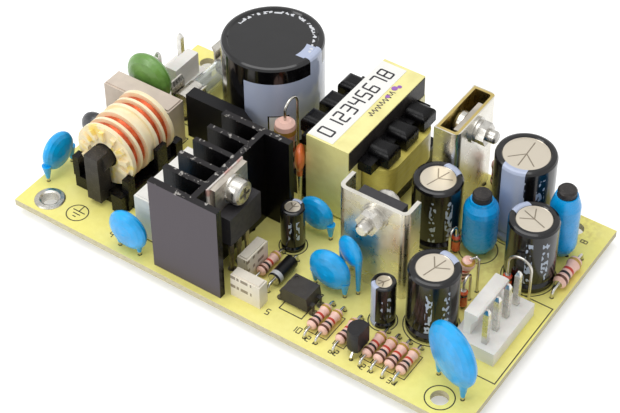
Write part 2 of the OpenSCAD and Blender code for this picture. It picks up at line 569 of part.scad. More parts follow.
module bracket_spring_washers() color([0.8, 0.8, 0.8]) {
  in_front() ring_y(-br_t - 1.2, 0.7, 2.45, 1.6);
  in_rear() ring_y(-br_t - 1.2, 0.7, 2.45, 1.6);
}
module hex_nut() translate([0, -br_t - 1.2, sw_z]) rotate([90, 0, 0]) difference() {
  cylinder(h = 1.8, r = 2.6, $fn = 6);
  translate([0, 0, -1]) cylinder(h = 5, r = 1.42);
}
module bracket_nuts() color([0.8, 0.79, 0.76]) { in_front() hex_nut(); in_rear() hex_nut(); }
module through_screw(y0) {
  translate([0, y0, sw_z]) rotate([0, 0, -90]) rotate([0, 0, 0]) rotate([0, -90, 0]) difference() {
    rotate_extrude($fn = 48)
      polygon([[0, 0], [2.75, 0], [2.75, 1.1], [2.4, 1.7], [1.7, 1.95], [0, 1.95]]);
    for (a = [0, 90]) rotate([0, 0, a]) translate([-1.5, -0.35, 1]) cube([3, 0.7, 2]);
  }
  translate([0, -br_t - 5.0, sw_z]) rotate([-90, 0, 0]) rotate_extrude($fn = 48)
    polygon([[0, 0], [1.05, 0], [1.4, 0.4], [1.4, br_t + 5.0 + y0 + 0.05], [0, br_t + 5.0 + y0 + 0.05]]);
}
module bracket_screws() color([0.82, 0.78, 0.7]) { in_front() through_screw(3.0); in_rear() through_screw(1.6); }

// ---- output side ----
module output_capacitors() color([0.08, 0.08, 0.09]) for (c = caps10) can(c, 10.4, out_h, 5);
module tall_output_capacitor() color([0.08, 0.08, 0.09]) can(cap13, 12.8, tall_h, 5);
module small_capacitors() color([0.08, 0.08, 0.09]) for (c = caps5) can(c, 5, 11, 2);
// shrunk sleeve with a shoulder, closed in below round the leads
module rod_choke_sleeves() color([0.1, 0.55, 0.88]) for (r = rods) on_board([r[0], r[1]])
  difference() {
    rotate_extrude($fn = 64)
      polygon([[0, 0.5], [1.6, 0.5], [r[2] * 0.72, 1.3], [r[2] - 0.2, 2.6], [r[2], 3.6],
        [r[2], r[3] - 4.4], [r[2] - 0.25, r[3] - 3.4], [2.55, r[3] - 2.2], [2.35, r[3] - 1.6],
        [0, r[3] - 1.6]]);
    translate([0, 0, 1.2]) cylinder(h = 30, r = 2.06);
    for (s = [-1, 1]) translate([s * 1.5, 0, -1]) cylinder(h = 4, r = lr + 0.03, $fn = 24);
  }
module rod_choke_cores() color([0.27, 0.26, 0.27]) for (r = rods) {
  on_board([r[0], r[1]]) rotate_extrude($fn = 64)
    polygon([[0, 1.25], [2.0, 1.25], [2.0, r[3] - 0.4], [1.7, r[3]], [0, r[3]]]);
  for (p = px([r[0], r[1]], 3)) wire(p, bt + 1.3);
}
module small_disc_capacitors() color([0.05, 0.62, 0.92]) for (b = blue) disc(b);
module large_disc_capacitor() color([0.05, 0.62, 0.92]) disc(large);
module film_capacitors() color([0.92, 0.9, 0.8]) {
  on_board(film[0]) film_box(7.0, 2.6, 6);
  on_board(film[1]) rotate([0, 0, 90]) film_box(6.8, 2.5, 6);
  for (p = concat(px(film[0], 5), py(film[1], 5))) wire(p, bt + 1);
}
module quarter_watt_resistors() color([0.93, 0.68, 0.62]) for (q = qw) resistor_y(q, 6.3, 1.13, 10.16);
module output_resistor() color([0.93, 0.62, 0.55]) resistor_y(out_r, 8.0, 1.5, 12.7);
// straight piece of wire between two points, rounded at both ends
module run(a, b) {
  v = b - a; l = norm(v);
  translate(a) rotate([0, acos(v.z / l), atan2(v.y, v.x)]) cylinder(h = l, r = 0.27, $fn = 24);
  translate(b) sphere(r = 0.35, $fn = 24);
}
// small resistors on end: one leaning beside the output capacitor, one upright at the back edge
module standing_resistors() color([0.93, 0.66, 0.6]) {
  a = [stand_r.x, stand_r.y, bt + 1.2];
  b = [stand_r.x + 2.8, stand_r.y + 0.8, bt + 9.0];
  c = [stand_r.x + 3.8, stand_r.y + 1.4, bt + 9.6];
  d = [stand_r.x + 4.2, stand_r.y + 1.7, bt + 8.9];
  v = b - a;
  wire(stand_r, bt + 1.2);
  translate(a) sphere(r = 0.35, $fn = 24);
  run(a, b);
  run(b, c);
  run(c, d);
  wire([d.x, d.y], bt + 8.9);
  translate(a) rotate([0, acos(v.z / norm(v)), atan2(v.y, v.x)]) translate([0, 0, 1.3])
    standing_body(1.45, 6.8);
  on_board(back_r, 0.8) standing_body(1.3, 6.5);
  wire(back_r, bt + 8);
  translate([back_r.x, back_r.y, bt + 8]) loop_x(2.54);
  wire([back_r.x + 2.54, back_r.y], bt + 8);
}
module power_diode() color([0.1, 0.1, 0.1]) {
  on_board([diode.x, diode.y - 3.2], 1.75) rotate([-90, 0, 0]) rotate_extrude($fn = 48)
    polygon([[0, 0], [1.25, 0], [1.45, 0.2], [1.45, 6.2], [1.25, 6.4], [0, 6.4]]);
  leads_y(diode, 1.75, 10.16);
}
module glass_diode(p, a, g, h) {
  on_board(p, 0.6) rotate_extrude($fn = 32)
    polygon([[0, 0], [0.6, 0], [0.95, 0.4], [0.95, 3.8], [0.6, 4.2], [0, 4.2]]);
  wire(p, bt + h);
  translate([p.x, p.y, bt + h]) rotate([0, 0, a]) loop_x(g);
  wire([p.x + g * cos(a), p.y + g * sin(a)], bt + h);
}
module glass_diodes() color([0.75, 0.12, 0.1]) {
  glass_diode(glass[0], 90, 2.54, 6.2);
  glass_diode(glass[1], -90, 2.54, 6.2);
  glass_diode(glass[2], 0, 5.08, 8.2);
}
module optocoupler() color([0.13, 0.13, 0.13]) {
  on_board(opto) difference() {
    union() {
      block([-3.15, -2.4, 0.6], [3.15, 2.4, 2.2]);
      translate([0, 2.4, 0]) rotate([90, 0, 0]) linear_extrude(4.8)
        polygon([[-3.15, 2.2], [3.15, 2.2], [2.85, 4.1], [-2.85, 4.1]]);
    }
    translate([-2.0, 1.4, 3.9]) cylinder(h = 1, r = 0.5, $fn = 24);
  }
  for (i = [-1, 1], j = [-1, 1]) {
    on_board([opto.x + i * 3.3, opto.y + j * 1.27], 2.1) cube([1.3, 1.0, 0.25], center = true);
    translate([opto.x + i * 3.81 - 0.13, opto.y + j * 1.27 - 0.25, 0]) cube([0.26, 0.5, bt + 2.2]);
  }
}
module small_transistor() color([0.1, 0.1, 0.1]) {
  on_board(tx, 1.9) intersection() {
    rotate_extrude($fn = 48) polygon([[0, 0], [2.3, 0], [2.3, 3.4], [2.15, 4.6], [0, 4.6]]);
    translate([-3, -3, -1]) cube([4.15, 6, 8]);
  }
  translate([tx.x - 0.2, tx.y - 0.22, 0]) cube([0.4, 0.44, bt + 2.2]);
  for (i = [-1, 1]) translate([tx.x + 0.2, tx.y, 0]) rotate([0, -90, 0]) linear_extrude(0.4)
    polygon([[0, i * 2.32], [0, i * 2.76], [bt + 0.7, i * 2.76], [bt + 2.2, i * 1.5],
      [bt + 2.2, i * 1.05], [bt + 0.6, i * 2.32]]);
}

circuit_board();
mounting_eyelet();
solder_joints();
inlet_header();
inlet_pins();
outlet_header();
outlet_pins();
fuse_glass();
fuse_end_caps();
fuse_clips();
inrush_thermistor();
surge_disc();
line_filter_capacitor();
second_filter_capacitor();
choke_bobbin();
choke_windings();
choke_core();
choke_base();
bridge_rectifier();
bulk_capacitor();
main_heatsink();
switch_body();
switch_leadframe();
switch_pad();
switch_screw();
switch_spring_washer();
switch_flat_washer();
power_resistor();
orange_disc_capacitor();
transformer_core();
transformer_bobbin();
transformer_winding();
transformer_tape();
transformer_label();
front_bracket();
rear_bracket();
rectifier_bodies();
rectifier_leadframes();
rectifier_pads();
bracket_screws();
bracket_nuts();
bracket_flat_washers();
bracket_spring_washers();
output_capacitors();
tall_output_capacitor();
small_capacitors();
rod_choke_sleeves();
rod_choke_cores();
small_disc_capacitors();
large_disc_capacitor();
film_capacitors();
quarter_watt_resistors();
output_resistor();
standing_resistors();
power_diode();
glass_diodes();
optocoupler();
small_transistor();
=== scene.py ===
import math
import bpy
from mathutils import Matrix, Vector


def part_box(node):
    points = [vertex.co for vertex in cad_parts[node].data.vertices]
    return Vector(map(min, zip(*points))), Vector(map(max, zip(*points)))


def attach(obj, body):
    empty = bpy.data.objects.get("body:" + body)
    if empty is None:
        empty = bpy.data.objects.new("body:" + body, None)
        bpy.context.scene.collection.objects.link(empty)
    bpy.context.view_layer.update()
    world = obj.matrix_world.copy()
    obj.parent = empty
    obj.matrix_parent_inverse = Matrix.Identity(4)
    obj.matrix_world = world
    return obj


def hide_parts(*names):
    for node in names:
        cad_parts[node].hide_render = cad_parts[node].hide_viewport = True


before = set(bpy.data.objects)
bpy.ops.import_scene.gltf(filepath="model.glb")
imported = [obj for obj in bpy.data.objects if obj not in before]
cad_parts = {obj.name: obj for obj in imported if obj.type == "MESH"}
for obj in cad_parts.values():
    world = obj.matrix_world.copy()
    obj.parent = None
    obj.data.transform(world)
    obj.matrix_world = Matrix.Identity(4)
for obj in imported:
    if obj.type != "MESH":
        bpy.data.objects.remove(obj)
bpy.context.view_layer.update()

MM = 0.001
BOARD_TOP = 3.8
BULK_CAN = (-22.6, 17.4, 11.0)
# Each can: x, y, radius and the way its stripe faces, in degrees.
OUTPUT_CANS = [(36, -12.3, 5.2, 75), (23.7, 9, 5.2, 72), (45.3, 9.7, 5.2, 160)]
TALL_CANS = [(36.7, 21.3, 6.4, -87)]
SMALL_CANS = [(1.3, -9.6, 2.5, 90), (27.5, -16.6, 2.5, -120)]
ROW_X = (17.4, 20, 24, 30.15, 32.7, 35.2, 37.75)
ROW_Y = -23.7
GLASS_DIODES = ((38.6, -5), (29.6, 7.2), (43.6, 3.6))
GREY_BLUE = (179, 189, 214)


# ---- colours and node graphs -------------------------------------------------

def srgb(red, green, blue):
    """A screen colour, 0 to 255, as the linear colour that shaders use."""
    out = []
    for level in (red, green, blue):
        level = level / 255
        out.append(level / 12.92 if level <= 0.04045 else ((level + 0.055) / 1.055) ** 2.4)
    return (out[0], out[1], out[2], 1.0)


class Num:
    """A number in a node graph. Arithmetic on it adds Math nodes."""

    def __init__(self, tree, socket):
        self.tree = tree
        self.socket = socket

    def math(self, operation, other=None):
        node = self.tree.nodes.new("ShaderNodeMath")
        node.operation = operation
        self.tree.links.new(self.socket, node.inputs[0])
        if isinstance(other, Num):
            self.tree.links.new(other.socket, node.inputs[1])
        elif other is not None:
            node.inputs[1].default_value = other
        return Num(self.tree, node.outputs[0])

    def __add__(self, other):
        return self.math("ADD", other)

    def __sub__(self, other):
        return self.math("SUBTRACT", other)

    def __mul__(self, other):
        return self.math("MULTIPLY", other)

    def __gt__(self, other):
        return self.math("GREATER_THAN", other)

    def __lt__(self, other):
        return self.math("LESS_THAN", other)

    def around(self, centre, half):
        """1 within half of centre, and 0 elsewhere."""
        return (self - centre).math("ABSOLUTE") < half

    def between(self, low, high):
        return self.around((low + high) / 2, (high - low) / 2)

    def either(self, other):
        return self.math("MAXIMUM", other)

    def ease(self, low, high):
        """0 below low and 1 above high, with a straight ramp between."""
        node = self.tree.nodes.new("ShaderNodeMapRange")
        self.tree.links.new(self.socket, node.inputs[0])
        node.inputs[1].default_value = low
        node.inputs[2].default_value = high
        return Num(self.tree, node.outputs[0])


class Shade:
    """A procedural material in object coordinates, in millimetres."""

    def __init__(self, name, colour, roughness=0.5, metallic=0.0, **finish):
        self.material = bpy.data.materials.new(name)
        self.material.use_nodes = True
        self.tree = self.material.node_tree
        self.bsdf = self.tree.nodes["Principled BSDF"]
        coords = self.tree.nodes.new("ShaderNodeTexCoord")
        scale = self.tree.nodes.new("ShaderNodeVectorMath")
        scale.operation = "SCALE"
        scale.inputs["Scale"].default_value = 1 / MM
        self.tree.links.new(coords.outputs["Object"], scale.inputs[0])
        self.place = scale.outputs[0]
        split = self.tree.nodes.new("ShaderNodeSeparateXYZ")
        self.tree.links.new(self.place, split.inputs[0])
        self.x, self.y, self.z = (Num(self.tree, out) for out in split.outputs)
        geometry = self.tree.nodes.new("ShaderNodeNewGeometry")
        facing = self.tree.nodes.new("ShaderNodeSeparateXYZ")
        self.tree.links.new(geometry.outputs["Normal"], facing.inputs[0])
        self.facing_up = Num(self.tree, facing.outputs[2])
        self.facing_y = Num(self.tree, facing.outputs[1])
        self.colour = srgb(*colour)
        self.roughness = roughness
        self.metallic = metallic
        self.normal = None
        for socket, value in finish.items():
            self.bsdf.inputs[socket.replace("_", " ")].default_value = value

    def noise(self, scale, detail=3, stretch=(1, 1, 1)):
        """Smooth noise, 0 to 1, with scale in cells per millimetre."""
        pull = self.tree.nodes.new("ShaderNodeVectorMath")
        pull.operation = "MULTIPLY"
        pull.inputs[1].default_value = stretch
        self.tree.links.new(self.place, pull.inputs[0])
        node = self.tree.nodes.new("ShaderNodeTexNoise")
        node.inputs["Scale"].default_value = scale
        node.inputs["Detail"].default_value = detail
        self.tree.links.new(pull.outputs[0], node.inputs["Vector"])
        return Num(self.tree, node.outputs[0])

    def distance(self, x, y):
        """How far a point is from an upright axis."""
        across = self.x - x
        along = self.y - y
        return (across * across + along * along).math("SQRT")

    def paint(self, mask, colour):
        """Lays a colour over what is there, as strongly as mask says."""
        node = self.tree.nodes.new("ShaderNodeMix")
        node.data_type = "RGBA"
        self.tree.links.new(mask.socket, node.inputs[0])
        if isinstance(self.colour, tuple):
            node.inputs[6].default_value = self.colour
        else:
            self.tree.links.new(self.colour, node.inputs[6])
        node.inputs[7].default_value = srgb(*colour)
        self.colour = node.outputs[2]

    def vary(self, colour, scale, amount=0.5, detail=3, stretch=(1, 1, 1)):
        """Blends in patches of a second colour."""
        self.paint(self.noise(scale, detail, stretch).ease(0.38, 0.66) * amount, colour)

    def blend_number(self, mask, start, end):
        """start where mask is 0, and end where it is 1."""
        if isinstance(start, Num):
            return start + mask * (start * -1 + end)
        return mask * (end - start) + start

    def rough(self, mask, value):
        self.roughness = self.blend_number(mask, self.roughness, value)

    def metal(self, mask, colour, roughness=0.25):
        """Turns the masked part into bare metal."""
        self.paint(mask, colour)
        self.metallic = self.blend_number(mask, self.metallic, 1.0)
        self.rough(mask, roughness)

    def bump(self, height, depth):
        """Raises the surface by depth, in millimetres, where height is 1."""
        node = self.tree.nodes.new("ShaderNodeBump")
        node.inputs["Distance"].default_value = depth * MM
        self.tree.links.new(height.socket, node.inputs["Height"])
        if self.normal:
            self.tree.links.new(self.normal, node.inputs["Normal"])
        self.normal = node.outputs[0]

    def done(self):
        """Joins what was built to the shader."""
        inputs = {"Base Color": self.colour, "Roughness": self.roughness, "Metallic": self.metallic}
        for name, value in inputs.items():
            if isinstance(value, Num):
                self.tree.links.new(value.socket, self.bsdf.inputs[name])
            elif isinstance(value, (tuple, float, int)):
                self.bsdf.inputs[name].default_value = value
            else:
                self.tree.links.new(value, self.bsdf.inputs[name])
        if self.normal:
            self.tree.links.new(self.normal, self.bsdf.inputs["Normal"])
        return self.material


def dress(shade, *nodes):
    """Puts a finished material on CAD nodes."""
    material = shade.done()
    for name in nodes:
        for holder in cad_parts[name].material_slots:
            holder.material = material
    return material


# ---- board, metal and plain plastics -----------------------------------------

def board_finish():
    shade = Shade("board_finish", (250, 241, 138), 0.4, Specular_IOR_Level=0.35)
    shade.vary((246, 238, 158), 0.09, 0.6)
    shade.vary((226, 214, 112), 0.7, 0.2, 5)
    flux = shade.distance(39.5, 9.5).ease(9.0, 2.5) * shade.noise(0.5, 4).ease(0.4, 0.6)
    shade.paint(flux * 0.45, (188, 160, 84))
    corner = shade.distance(46.8, 26.9).ease(6.5, 3.0) * shade.noise(0.8, 4).ease(0.42, 0.6)
    shade.paint(corner * 0.4, (196, 176, 110))
    edge = shade.z.between(2.24, 3.76)
    shade.paint(edge, (222, 214, 182))
    shade.paint(edge * shade.noise(3.0, 4, (0.3, 0.3, 3)).ease(0.45, 0.6) * 0.5, (176, 164, 120))
    shade.rough(edge, 0.85)
    below = shade.z < 2.22
    shade.paint(below, (196, 186, 92))
    tracks = below * shade.noise(0.13, 0, (1, 2.2, 1)).around(0.5, 0.045)
    shade.paint(tracks, (120, 116, 50))
    shade.bump(shade.noise(1.6, 4), 0.02)
    dress(shade, "circuit_board")


def metal_finish(name, colour, roughness, nodes, grain=(1, 1, 1), depth=0.01):
    shade = Shade(name, colour, roughness, 1.0)
    darker = tuple(int(level * 0.72) for level in colour)
    shade.vary(darker, 0.5, 0.45, 4, grain)
    worn = shade.noise(1.3, 4, grain).ease(0.35, 0.7)
    shade.rough(worn, min(1.0, roughness + 0.18))
    shade.bump(shade.noise(2.5, 3, grain), depth)
    dress(shade, *nodes)


def plastic_finish(name, colour, roughness, nodes, grain=0.012, patch=0.88, **finish):
    shade = Shade(name, colour, roughness, **finish)
    shade.vary(tuple(int(level * patch) for level in colour), 0.25, 0.4)
    shade.rough(shade.noise(1.1, 3).ease(0.4, 0.7), min(1.0, roughness + 0.15))
    shade.bump(shade.noise(4.5, 2), grain)
    dress(shade, *nodes)


def heatsink_finish():
    shade = Shade("heatsink_finish", (10, 9, 11), 0.24, Specular_IOR_Level=0.18)
    shade.vary((16, 15, 18), 0.3, 0.6, 3, (1, 1, 0.15))
    low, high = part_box("main_heatsink")
    # Painted reflection: the front face is painted mid grey for the bright surround it reflects, and is
    # made rougher there.
    front = (shade.facing_y < -0.7) * (shade.y < low.y / MM + 0.2)
    shade.paint(front, (92, 86, 91))
    shade.rough(front, 0.5)
    top = high.z / MM
    nicks = (shade.z > top - 0.16) * shade.noise(1.1, 5).ease(0.6, 0.66)
    shade.metal(nicks, (196, 192, 186), 0.4)
    # The top face, with the top 0.03 mm of the sides, is painted part way to a lighter grey.
    lighter_top = (shade.z > top - 0.03) * 0.3
    shade.paint(lighter_top, (70, 67, 68))
    shade.bump(shade.noise(2.0, 2, (3, 3, 0.08)), 0.02)
    dress(shade, "main_heatsink")


def bracket_finish():
    shade = Shade("bracket_finish", (232, 229, 220), 0.24, 1.0)
    shade.vary((206, 200, 184), 0.22, 0.5, 3, (1, 1, 0.4))
    shade.rough(shade.noise(0.4, 3).ease(0.35, 0.7), 0.36)
    low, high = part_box("rear_bracket")
    # Painted reflection: the rear bracket's inner faces above the board are painted yellow for the
    # transformer tape they reflect.
    inside = shade.x.between(low.x / MM + 0.3, high.x / MM - 0.3) * (shade.z > BOARD_TOP + 12)
    inside = inside * shade.y.between(low.y / MM + 0.3, high.y / MM - 0.3)
    shade.paint(inside * 0.8, (206, 178, 74))
    shade.bump(shade.noise(0.3, 1), 0.03)
    dress(shade, "front_bracket", "rear_bracket")


# ---- coated and wound parts --------------------------------------------------

def disc_finish(name, colour, nodes, lead_top=0.9, gloss=0.3):
    """Dipped discs: a shiny lumpy coat, and bare leads below it."""
    shade = Shade(name, colour, gloss, Coat_Weight=0.4, Coat_Roughness=0.2)
    shade.vary(tuple(int(level * 0.8) for level in colour), 0.35, 0.5)
    shade.bump(shade.noise(0.55, 2), 0.16)
    shade.bump(shade.noise(3.5, 2), 0.015)
    shade.metal(shade.z < BOARD_TOP + lead_top, (206, 203, 196))
    dress(shade, *nodes)


def box_finish(name, colour, nodes, print_colour, axis):
    """Box capacitors, with rows of plain printed dashes on one face."""
    shade = Shade(name, colour, 0.38)
    shade.vary(tuple(int(level * 0.93) for level in colour), 0.3, 0.6)
    low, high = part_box(nodes[0])
    along = shade.x if axis == "x" else shade.y
    start = (low.x if axis == "x" else low.y) / MM
    end = (high.x if axis == "x" else high.y) / MM
    rows = ((shade.z - BOARD_TOP) * 0.42).math("FRACT") < 0.34
    dashes = shade.noise(1.35, 0, (1, 1, 0.01)) > 0.47
    panel = along.between(start + 1.6, end - 1.6) * shade.z.between(BOARD_TOP + 2.2, BOARD_TOP + 9.4)
    upright = shade.facing_up.around(0, 0.3)
    shade.paint(rows * dashes * panel * upright, print_colour)
    shade.bump(shade.noise(3.0, 2), 0.012)
    dress(shade, *nodes)


BAND_COLOURS = ((96, 52, 28), (30, 26, 24), (196, 60, 36), (190, 148, 60))


def resistor_finish(name, node, bodies, axis, reach=1.6, body_colour=(250, 204, 188)):
    """Resistors of one node. bodies: (x, y, z, half length) of each, by board top; axis: x, y or z."""
    shade = Shade(name, body_colour, 0.4)
    shade.vary(tuple(int(level * 0.9) for level in body_colour), 0.6, 0.5)
    coated = None
    for x, y, z, half in bodies:
        centre = {"x": x, "y": y, "z": BOARD_TOP + z}
        along = {"x": shade.x, "y": shade.y, "z": shade.z}[axis]
        inside = along.around(centre[axis], half)
        for other in "xyz":
            if other != axis:
                line = {"x": shade.x, "y": shade.y, "z": shade.z}[other]
                inside = inside * line.around(centre[other], reach)
        coated = inside if coated is None else coated.either(inside)
        for number, colour in enumerate(BAND_COLOURS):
            offset = half * (-0.72, -0.32, 0.02, 0.68)[number]
            shade.paint(inside * along.around(centre[axis] + offset, half * 0.085), colour)
    shade.bump(shade.noise(1.4, 2), 0.03)
    shade.metal(coated * -1 + 1, (204, 201, 194))
    dress(shade, node)


def can_finish(name, node, cans, sleeve, panel, panel_half, front=math.radians(-62)):
    """Small cans, with bare scored tops inside the sleeve's rim.

    Each can is x, y, radius and the angle of its stripe. Strokes of plain print face front.
    """
    shade = Shade(name, sleeve, 0.22, Coat_Weight=0.4, Coat_Roughness=0.08, Specular_IOR_Level=0.35)
    shade.vary(tuple(level + 6 for level in sleeve), 0.3, 0.6)
    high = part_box(node)[1]
    shade.bump(shade.noise(0.4, 2, (1, 1, 0.3)), 0.04)
    for x, y, radius, angle in cans:
        away = shade.distance(x, y)
        near = away < radius + 0.6
        rim = 1.6 if radius > 3 else 0.96
        toward = (shade.x - x) * math.cos(angle) + (shade.y - y) * math.sin(angle)
        across = (shade.y - y) * math.cos(angle) - (shade.x - x) * math.sin(angle)
        stripe = near * (toward > 0) * across.around(0, panel_half * radius) * (away > radius - rim + 0.1)
        shade.paint(stripe, panel)
        facing = (shade.x - x) * math.cos(front) + (shade.y - y) * math.sin(front)
        aside = (shade.y - y) * math.cos(front) - (shade.x - x) * math.sin(front)
        wall = near * (facing > 0) * (away > radius - 0.4) * (stripe * -1 + 1)
        letters = wall * (shade.noise(1.5, 0, (1, 1, 0.62)) > 0.53)
        letters = letters * shade.z.between(BOARD_TOP + 3, high.z / MM - 2.4)
        for centre in (0.5, -0.12):
            shade.paint(letters * aside.around(centre * radius, 0.13 * radius), (176, 188, 206))
        top = (away < radius - rim + 0.05) * (shade.z > high.z / MM - 6)
        shade.metal(top, (224, 214, 196), 0.3)
        score = across.around(0, 0.13).either((toward + across * 0.9).around(0, 0.17) * (toward > 0))
        score = score.either((toward - across * 0.9).around(0, 0.17) * (toward > 0))
        score = score * top * (away < (radius - rim) * 0.82)
        shade.paint(score * 0.75, (112, 98, 78))
        shade.bump(score * -1, 0.12)
    dress(shade, node)


def bulk_finish():
    """The large can: sleeved over its top, with a grey-blue panel that stays free of print."""
    x, y, radius = BULK_CAN
    shade = Shade("bulk_finish", (9, 8, 10), 0.16, Coat_Weight=0.5, Coat_Roughness=0.06,
                  Specular_IOR_Level=0.35)
    shade.vary((18, 17, 20), 0.2, 0.5)
    shade.bump(shade.noise(0.3, 2, (1, 1, 0.3)), 0.05)
    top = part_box("bulk_capacitor")[1].z / MM
    away = shade.distance(x, y)
    for angle, half, inner, bottom, upper in ((-32, 0.83, 0.4, 5.0, 21.6), (2, 0.2, 3.6, 4.0, 30.0)):
        turn = math.radians(angle)
        toward = (shade.x - x) * math.cos(turn) + (shade.y - y) * math.sin(turn)
        across = (shade.y - y) * math.cos(turn) - (shade.x - x) * math.sin(turn)
        panel = (toward > 0) * across.around(0, half * radius) * (away > radius - inner)
        panel = panel * shade.z.between(BOARD_TOP + bottom, BOARD_TOP + upper)
        shade.paint(panel, GREY_BLUE)
        if half > 0.5:
            blocks = ((2.2, 8.6, 13, (20, 20, 24)), (1.9, 8.9, 12.7, (232, 234, 238)))
            for wide, low, high, colour in blocks:
                block = across.around(-half * radius * 0.35, wide)
                block = block * shade.z.between(BOARD_TOP + low, BOARD_TOP + high)
                shade.paint(panel * block, colour)
    letters = (away.around(radius - 2.2, 0.42)) * (shade.z > top - 2.5) * (shade.noise(1.5, 0) > 0.52)
    shade.paint(letters * (shade.y > y), (214, 216, 220))
    dress(shade, "bulk_capacitor")


def tape_finish():
    shade = Shade("coil_tape_finish", (236, 222, 118), 0.28, Coat_Weight=0.5, Coat_Roughness=0.12)
    shade.vary((200, 182, 84), 0.25, 0.6, 3, (1, 1, 0.3))
    wrinkle = shade.noise(0.7, 3, (0.25, 0.25, 2.0))
    shade.bump(wrinkle, 0.22)
    layers = (shade.z * 2.2).math("FRACT").around(0.5, 0.06)
    shade.paint(layers * 0.2, (150, 132, 60))
    dress(shade, "transformer_winding")
    shade = Shade("core_tape_finish", (248, 241, 164), 0.26, Coat_Weight=0.5, Coat_Roughness=0.1)
    shade.vary((228, 216, 140), 0.22, 0.6)
    shade.bump(shade.noise(0.5, 3), 0.16)
    dress(shade, "transformer_tape")


def ferrite_finish():
    shade = Shade("ferrite_finish", (44, 41, 40), 0.42, Specular_IOR_Level=0.3)
    shade.vary((66, 61, 58), 0.6, 0.5, 5)
    shade.paint((shade.noise(4.0, 2) > 0.66) * 0.5, (112, 106, 100))
    shade.bump(shade.noise(3.0, 4), 0.04)
    dress(shade, "choke_core", "transformer_core", "rod_choke_cores")


def glass_diode_finish():
    shade = Shade("glass_diode_finish", (206, 66, 34), 0.12, Coat_Weight=0.8, Coat_Roughness=0.05)
    shade.vary((238, 120, 60), 0.9, 0.5)
    shade.paint(shade.z.between(BOARD_TOP + 3.5, BOARD_TOP + 4.1), (24, 20, 20))
    body = None
    for x, y in GLASS_DIODES:
        here = shade.distance(x, y) < 1.15
        body = here if body is None else body.either(here)
    body = body * shade.z.between(BOARD_TOP + 0.6, BOARD_TOP + 4.8)
    shade.metal(body * -1 + 1, (204, 200, 192))
    dress(shade, "glass_diodes")


def power_diode_finish():
    shade = Shade("power_diode_finish", (16, 15, 17), 0.36, Specular_IOR_Level=0.25)
    body = shade.y.around(-17.8, 3.2)
    shade.paint(body * shade.y.between(-20.6, -19.6), (196, 196, 196))
    shade.bump(shade.noise(3.0, 2), 0.015)
    shade.metal(body * -1 + 1, (204, 201, 194))
    dress(shade, "power_diode")


def bobbin_finish():
    """Cream nylon, with yellow varnish between the teeth of the front flange."""
    shade = Shade("bobbin_finish", (255, 240, 204), 0.32, Subsurface_Weight=0.06, Subsurface_Scale=0.002)
    shade.vary((246, 222, 168), 0.35, 0.5)
    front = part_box("choke_bobbin")[0].y / MM
    varnish = (shade.y < front + 1.4) * shade.noise(0.42, 3).ease(0.5, 0.6)
    shade.paint(varnish * 0.7, (255, 222, 78))
    shade.bump(shade.noise(3.0, 3), 0.02)
    dress(shade, "choke_bobbin")


def chip_finish(name, colour, nodes, lead_top):
    """Moulded packages, with bare leads below the body."""
    shade = Shade(name, colour, 0.4, Specular_IOR_Level=0.25)
    shade.vary(tuple(int(level * 0.82) for level in colour), 0.5, 0.6)
    shade.bump(shade.noise(4.5, 2), 0.03)
    shade.metal(shade.z < BOARD_TOP + lead_top, (208, 205, 198))
    dress(shade, *nodes)


def pad_finish():
    shade = Shade("pad_finish", (232, 226, 220), 0.6)
    shade.paint(shade.noise(0.5, 2).ease(0.5, 0.62) * 0.5, (206, 92, 70))
    shade.bump(shade.noise(1.6, 3), 0.04)
    dress(shade, "switch_pad", "rectifier_pads")


def fuse_finish():
    shade = Shade("fuse_glass_finish", (236, 240, 238), 0.06, Transmission_Weight=0.85, IOR=1.47)
    shade.paint(shade.distance(-40.8, 18.3).ease(8, 5) * 0.15, (210, 216, 212))
    shade.bump(shade.noise(0.7, 1), 0.02)
    dress(shade, "fuse_glass")


